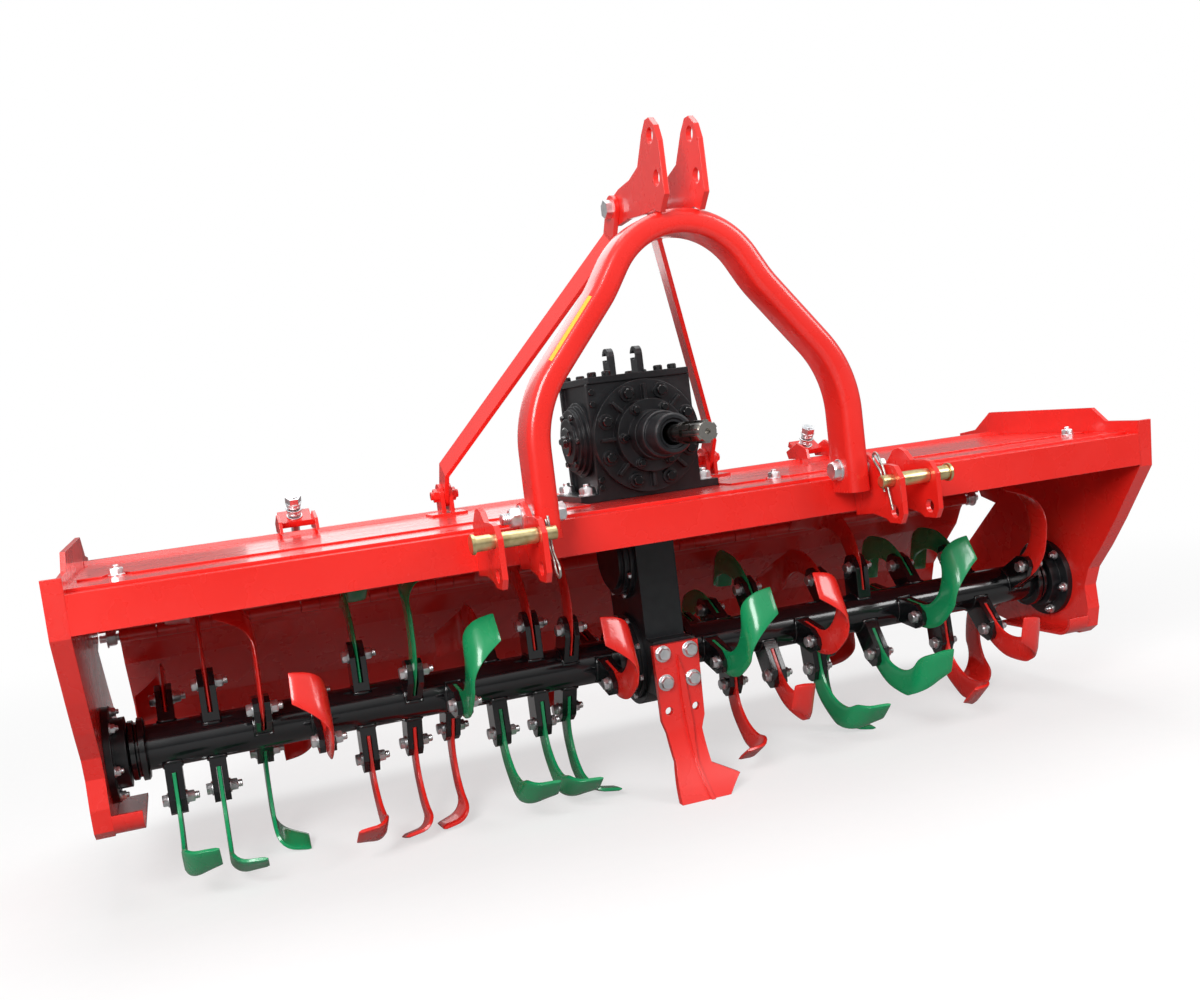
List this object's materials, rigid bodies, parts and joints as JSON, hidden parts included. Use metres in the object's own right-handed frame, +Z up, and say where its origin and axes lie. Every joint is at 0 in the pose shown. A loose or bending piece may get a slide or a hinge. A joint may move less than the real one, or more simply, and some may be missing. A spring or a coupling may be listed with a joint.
{
  "type": "rotary tiller",
  "caption": "Tractor-mounted rotary tiller: hooded rotor with bent blades on sockets, middle drive case with gearbox, arched hitch mast, hinged tail board on spring rods.",
  "frame": {"origin": "on the ground under the middle of the machine's bounding box", "axes": "+Z up; +X along the rotor, to the right of someone who stands in front, at the tractor's place, and looks at the machine; +Y to the machine's rear, so the tractor and the hitch are at -Y"},
  "size_m": [2, 0.8668, 1.1713],
  "materials": {
    "red_paint": "gloss",
    "green_paint": "gloss",
    "black_paint": "gloss",
    "black_castings": "satin paint",
    "zinc_plate": "zinc plated",
    "yellow_zinc": "yellow zinc plated",
    "bare_steel": "machined"
  },
  "bodies": {
    "frame": {"front_beam": "red_paint", "hood": "red_paint", "end_plate_left": "red_paint", "end_plate_right": "red_paint", "skid_left": "red_paint", "skid_right": "red_paint", "lug_left": "red_paint", "lug_right": "red_paint", "hitch_pin_left": "yellow_zinc", "hitch_pin_right": "yellow_zinc", "mast_arch": "red_paint", "mast_crown": "red_paint", "mast_bolts": "zinc_plate", "top_link_plates": "red_paint", "brace_left": "red_paint", "brace_right": "red_paint", "brace_bolt": "zinc_plate", "brace_feet": "red_paint", "gearbox": "black_castings", "gearbox_lid": "black_castings", "gearbox_front": "black_castings", "gearbox_side": "black_castings", "drive_case": "black_castings", "case_covers": "black_castings", "shovel": "red_paint", "bearing_left": "black_castings", "bearing_right": "black_castings", "tail_hinge": "red_paint", "rod_guides": "red_paint"},
    "input_shaft": {"input_shaft": "bare_steel"},
    "rotor": {"rotor_hub": "black_paint", "rotor_left": "black_paint", "rotor_right": "black_paint", "blades_left_red": "red_paint", "blades_left_green": "green_paint", "blades_right_red": "red_paint", "blades_right_green": "green_paint", "blade_bolts_left": "zinc_plate", "blade_bolts_right": "zinc_plate"},
    "tail_board": {"tail_board": "red_paint"},
    "rod_left": {"rod_left": "zinc_plate", "spring_left": "zinc_plate"},
    "rod_right": {"rod_right": "zinc_plate", "spring_right": "zinc_plate"}
  },
  "joints": [
    {"name": "rotor_spin", "type": "hinge", "parent": "frame", "child": "rotor", "pos_m": [0, 0.02256, 0.245], "axis": [1, 0, 0], "continuous": true},
    {"name": "input_spin", "type": "hinge", "parent": "frame", "child": "input_shaft", "pos_m": [0.025, -0.27744, 0.668], "axis": [0, 1, 0], "continuous": true},
    {"name": "tail_swing", "type": "hinge", "parent": "frame", "child": "tail_board", "pos_m": [0, 0.24456, 0.415], "axis": [1, 0, 0], "range_deg": [0, 35]},
    {"name": "rod_left_pivot", "type": "hinge", "parent": "tail_board", "child": "rod_left", "pos_m": [-0.592, 0.35856, 0.329], "axis": [1, 0, 0], "range_deg": [-24, 2]},
    {"name": "rod_right_pivot", "type": "hinge", "parent": "tail_board", "child": "rod_right", "pos_m": [0.511, 0.35856, 0.329], "axis": [1, 0, 0], "range_deg": [-24, 2]}
  ],
  "couplings": [
    {"joint": "input_spin", "follows": "rotor_spin", "ratio": -2.6},
    {"joint": "rod_left_pivot", "follows": "tail_swing", "ratio": -0.5741},
    {"joint": "rod_right_pivot", "follows": "tail_swing", "ratio": -0.5741}
  ]
}
